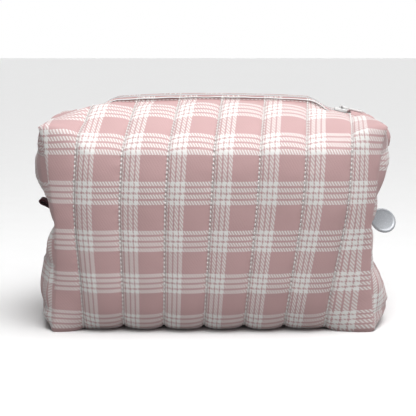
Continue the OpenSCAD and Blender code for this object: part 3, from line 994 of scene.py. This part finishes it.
# ---- lining
def build_lining():
    """The lining hangs just inside the quilt, looser and smoother than the outside."""
    inward = 5.8
    inner = BASE - BASE_N * inward
    inner[..., 0] = np.clip(inner[..., 0], -HALF_W + inward, HALF_W - inward)
    inner = inner + BASE_N * (0.6 * wobble(BASE, 26.0, 21.0))[..., None]
    body = add_grid("lining_wrap", inner[BODY], WRAP_UV[BODY], -grid_normals(inner[BODY]), LINING)
    settle(body, "lining", "front_lining", "rear_lining", "base_lining")
    for name, sign in ENDS:
        shrink = inward / np.array([1e9, HALF_D, 95.0])
        mid = np.array([0, 0, 80.0])
        patch = mid + (SIDES[name][0] - mid) * (1 - shrink)
        patch[..., 0] = sign * np.minimum(np.abs(patch[..., 0]) - inward, HALF_W - inward + 3)
        lining = add_grid(f"lining_side_{name}", patch, patch[..., 1:], -grid_normals(patch) * sign, LINING,
                          sign < 0)
        settle(lining, "lining", f"{name}_side_lining")
    for flap, order, way in TOPS:
        for name, (side, cols) in HALVES.items():
            sheet = inner[order, cols]
            piece = add_grid(f"lining_top_{flap}_{name}", sheet, WRAP_UV[order, cols],
                             -grid_normals(sheet) * way, LINING, flip=way < 0)
            blend_top(piece, f"{flap}_flap", side, "lining", f"{flap}_flap_lining",
                      f"{name}_top_lining")


# ---- seam bindings inside the bag
def build_bindings():
    for end in ("left", "right"):
        for name, node, run, sway, wave, wide in (
                ("front", f"front_{end}_binding", 2, 0, 7, (0, 1.0, 0)),
                ("rear", f"rear_{end}_binding", 2, 0, 7, (0, 1.0, 0)),
                ("seam", f"{end}_seam_binding", 1, 2, 9, (0, 0, 1.0))):
            low, high = box_mm(node)
            path = np.tile((low + high) / 2, (40, 1))
            path[:, run] = np.linspace(low[run], high[run], 40)
            path[:, sway] += 0.3 * np.sin(path[:, run] / wave)
            add_binding(f"binding_{name}_{end}", path, np.array(wide), node)


def add_binding(name, path, wide, node):
    """A tape folded round a seam allowance: an 8 mm strip with a thicker bound edge."""
    thick = np.cross(unit(np.gradient(path, axis=0)), wide)
    w = np.array([-3.9, -3.4, -2.0, 0, 2.0, 3.0, 3.9, 4.0, 3.9, 3.0, 2.0, 0, -2.0, -3.4])
    t = np.array([0.25, 0.7, 0.8, 0.75, 0.75, 1.0, 0.7, 0, -0.7, -1.0, -0.75, -0.75, -0.8, -0.7])
    rings = path[:, None] + wide * w[None, :, None] + thick[:, None] * t[None, :, None]
    run = np.linspace(0, np.linalg.norm(path[-1] - path[0]), len(path))
    uv = pairs(run, w + t)[..., ::-1]
    piece = add_mesh(name, rings.reshape(-1, 3), ring_faces(len(path), len(w)), BINDING,
                     uv.reshape(-1, 2))
    settle(piece, "binding", node)


def dress_cad():
    """The rigid CAD pieces that stay get their finish here."""
    for node, material in (("left_zip_stop", METAL), ("right_zip_stop", METAL)):
        mesh = bpy.data.objects[node].data
        mesh.materials.clear()
        mesh.materials.append(material)


build_stitches()
build_tapes()
build_coils()
build_tabs()
build_slider()
build_loop()
build_label()
build_lining()
build_bindings()
dress_cad()


# ---- stage
def make_sky():
    """White walls all round, up to a low height, dimmer on the left, and a dimmer ceiling."""
    world = bpy.data.worlds.new("studio")
    world.use_nodes = True
    tree = world.node_tree
    split = tree.nodes.new("ShaderNodeSeparateXYZ")
    tree.links.new(tree.nodes.new("ShaderNodeTexCoord").outputs["Generated"], split.inputs[0])
    both = tree.nodes.new("ShaderNodeMath")
    both.operation = "MULTIPLY"
    for slot, axis, values in ((0, "Z", (0.08, 0.3, 1.0, 0.12)), (1, "X", (-0.7, -0.2, 0.4, 1.0))):
        ramp = tree.nodes.new("ShaderNodeMapRange")
        tree.links.new(split.outputs[axis], ramp.inputs["Value"])
        tree.links.new(ramp.outputs[0], both.inputs[slot])
        for key, value in zip(("From Min", "From Max", "To Min", "To Max"), values):
            ramp.inputs[key].default_value = value
    tree.links.new(both.outputs[0], tree.nodes["Background"].inputs[1])
    tree.nodes["Background"].inputs[0].default_value = (1.0, 1.0, 1.0, 1)
    bpy.context.scene.world = world


def add_lamp(name, kind, place, toward, **settings):
    """A light at a place, shining at another, with its settings."""
    light = bpy.data.lights.new(name, kind)
    for key, value in settings.items():
        setattr(light, key, value)
    lamp = add_object(name, light)
    lamp.location = place
    lamp.rotation_euler = (Vector(place) - Vector(toward)).to_track_quat("Z", "Y").to_euler()


def make_stage():
    size = 6000
    points = [(-size, -size, 0), (size, -size, 0), (size, size, 0), (-size, size, 0)]
    n = Nodes("studio_floor")
    grain = n.noise(n.place(), 30.0, 2.0)
    seen = n.add("ShaderNodeLightPath").outputs["Is Camera Ray"]
    pale = n.mix(grain, (0.96, 0.96, 0.96), (0.99, 0.99, 0.99))
    paint = n.finish(n.mix(seen, (0.38, 0.38, 0.38), pale), 0.55)
    floor = add_mesh("floor", points, [(0, 1, 2, 3)], paint)
    make_sky()
    add_lamp("overhead", "SUN", (0.2, -0.04, 1), (0, 0, 0), energy=2.5, angle=math.radians(50))
    add_lamp("softbox", "AREA", (0.05, -0.36, 0.72), (0, 0, 0.1), energy=2.8, size=0.45)
    bpy.context.scene.view_settings.view_transform = "Standard"


make_stage()
